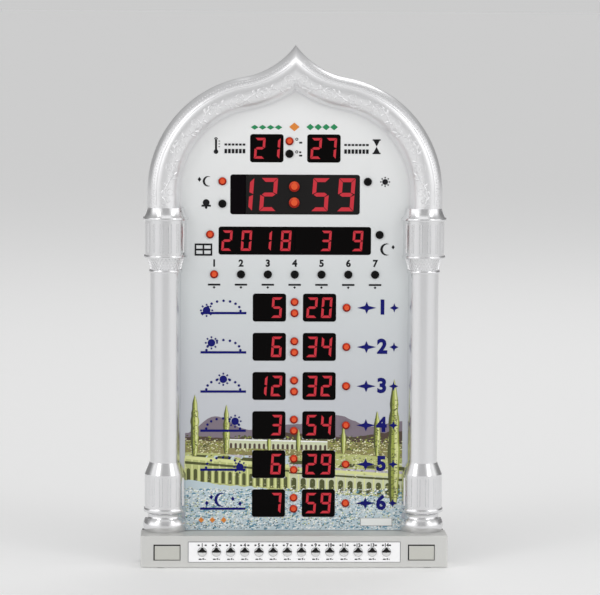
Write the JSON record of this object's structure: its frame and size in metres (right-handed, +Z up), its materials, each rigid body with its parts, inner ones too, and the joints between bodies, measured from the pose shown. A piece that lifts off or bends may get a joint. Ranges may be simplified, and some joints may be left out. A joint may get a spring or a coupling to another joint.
{
  "type": "digital prayer clock",
  "caption": "Digital prayer-time clock shaped as an ogee arch on two fluted columns, with red seven-segment displays, a keyed plinth and a black rear cover.",
  "frame": {"origin": "under the middle of the clock, on the surface it stands on", "axes": "+X to the right seen from the front, +Y to the back, +Z up"},
  "size_m": [0.271, 0.0516, 0.46],
  "materials": {
    "arch_silver": "silver metallised plastic, satin, embossed",
    "column_silver": "silver metallised plastic, glossy",
    "plinth_silver": "silver metallised plastic, satin",
    "inset_silver": "warm grey satin metal",
    "face_print": "printed clear sheet, low gloss",
    "strip_white": "white printed film",
    "key_chrome": "polished",
    "black_case": "fine moulded texture",
    "display_black": "black display face",
    "filter_black": "dark infrared filter",
    "red_lamp": "red diffused lens",
    "component_black": "moulded epoxy",
    "board_green": "solder mask",
    "speaker_steel": "black painted basket",
    "cable_grey": "flat ribbon",
    "cell_wrap": "plain sleeve",
    "contact_steel": "nickel plated spring steel",
    "screw_steel": "zinc plated",
    "foot_rubber": "matt black"
  },
  "bodies": {
    "housing": {"arch_moulding": "arch_silver", "left_column": "column_silver", "right_column": "column_silver", "base_plinth": "plinth_silver", "face_panel": "face_print", "label_strip": "strip_white", "left_inset_plate": "inset_silver", "right_inset_plate": "inset_silver", "rear_cover": "black_case", "temperature_display": "display_black", "countdown_display": "display_black", "clock_display": "display_black", "year_display": "display_black", "month_day_display": "display_black", "mode_lamps": "red_lamp", "weekday_lamps": "red_lamp", "row_colon_lamps": "red_lamp", "row_lamps": "red_lamp", "clock_colon_lamps": "red_lamp", "infrared_filter": "filter_black", "infrared_receiver": "component_black", "display_board": "board_green", "key_board": "board_green", "key_switches": "component_black", "driver_chips": "component_black", "speaker": "speaker_steel", "dc_jack": "component_black", "board_cable": "cable_grey", "backup_cells": "cell_wrap", "cell_contacts": "contact_steel", "cover_screws": "screw_steel", "board_screws": "screw_steel", "rubber_feet": "foot_rubber", "row1_hour_display": "display_black", "row1_minute_display": "display_black", "row2_hour_display": "display_black", "row2_minute_display": "display_black", "row3_hour_display": "display_black", "row3_minute_display": "display_black", "row4_hour_display": "display_black", "row4_minute_display": "display_black", "row5_hour_display": "display_black", "row5_minute_display": "display_black", "row6_hour_display": "display_black", "row6_minute_display": "display_black"},
    "key_01_body": {"key_01": "key_chrome"},
    "key_02_body": {"key_02": "key_chrome"},
    "key_03_body": {"key_03": "key_chrome"},
    "key_04_body": {"key_04": "key_chrome"},
    "key_05_body": {"key_05": "key_chrome"},
    "key_06_body": {"key_06": "key_chrome"},
    "key_07_body": {"key_07": "key_chrome"},
    "key_08_body": {"key_08": "key_chrome"},
    "key_09_body": {"key_09": "key_chrome"},
    "key_10_body": {"key_10": "key_chrome"},
    "key_11_body": {"key_11": "key_chrome"},
    "key_12_body": {"key_12": "key_chrome"},
    "key_13_body": {"key_13": "key_chrome"},
    "key_14_body": {"key_14": "key_chrome"},
    "battery_door_body": {"battery_door": "black_case"}
  },
  "joints": [
    {"name": "key_01_press", "type": "slide", "parent": "housing", "child": "key_01_body", "axis": [0, 1, 0], "range_m": [0, 0.0008], "stiffness_N_per_m": 400, "springref_m": -0.0006},
    {"name": "key_02_press", "type": "slide", "parent": "housing", "child": "key_02_body", "axis": [0, 1, 0], "range_m": [0, 0.0008], "stiffness_N_per_m": 400, "springref_m": -0.0006},
    {"name": "key_03_press", "type": "slide", "parent": "housing", "child": "key_03_body", "axis": [0, 1, 0], "range_m": [0, 0.0008], "stiffness_N_per_m": 400, "springref_m": -0.0006},
    {"name": "key_04_press", "type": "slide", "parent": "housing", "child": "key_04_body", "axis": [0, 1, 0], "range_m": [0, 0.0008], "stiffness_N_per_m": 400, "springref_m": -0.0006},
    {"name": "key_05_press", "type": "slide", "parent": "housing", "child": "key_05_body", "axis": [0, 1, 0], "range_m": [0, 0.0008], "stiffness_N_per_m": 400, "springref_m": -0.0006},
    {"name": "key_06_press", "type": "slide", "parent": "housing", "child": "key_06_body", "axis": [0, 1, 0], "range_m": [0, 0.0008], "stiffness_N_per_m": 400, "springref_m": -0.0006},
    {"name": "key_07_press", "type": "slide", "parent": "housing", "child": "key_07_body", "axis": [0, 1, 0], "range_m": [0, 0.0008], "stiffness_N_per_m": 400, "springref_m": -0.0006},
    {"name": "key_08_press", "type": "slide", "parent": "housing", "child": "key_08_body", "axis": [0, 1, 0], "range_m": [0, 0.0008], "stiffness_N_per_m": 400, "springref_m": -0.0006},
    {"name": "key_09_press", "type": "slide", "parent": "housing", "child": "key_09_body", "axis": [0, 1, 0], "range_m": [0, 0.0008], "stiffness_N_per_m": 400, "springref_m": -0.0006},
    {"name": "key_10_press", "type": "slide", "parent": "housing", "child": "key_10_body", "axis": [0, 1, 0], "range_m": [0, 0.0008], "stiffness_N_per_m": 400, "springref_m": -0.0006},
    {"name": "key_11_press", "type": "slide", "parent": "housing", "child": "key_11_body", "axis": [0, 1, 0], "range_m": [0, 0.0008], "stiffness_N_per_m": 400, "springref_m": -0.0006},
    {"name": "key_12_press", "type": "slide", "parent": "housing", "child": "key_12_body", "axis": [0, 1, 0], "range_m": [0, 0.0008], "stiffness_N_per_m": 400, "springref_m": -0.0006},
    {"name": "key_13_press", "type": "slide", "parent": "housing", "child": "key_13_body", "axis": [0, 1, 0], "range_m": [0, 0.0008], "stiffness_N_per_m": 400, "springref_m": -0.0006},
    {"name": "key_14_press", "type": "slide", "parent": "housing", "child": "key_14_body", "axis": [0, 1, 0], "range_m": [0, 0.0008], "stiffness_N_per_m": 400, "springref_m": -0.0006},
    {"name": "battery_door_lift", "type": "slide", "parent": "housing", "child": "battery_door_body", "axis": [0, 1, 0], "range_m": [0, 0.03]}
  ]
}
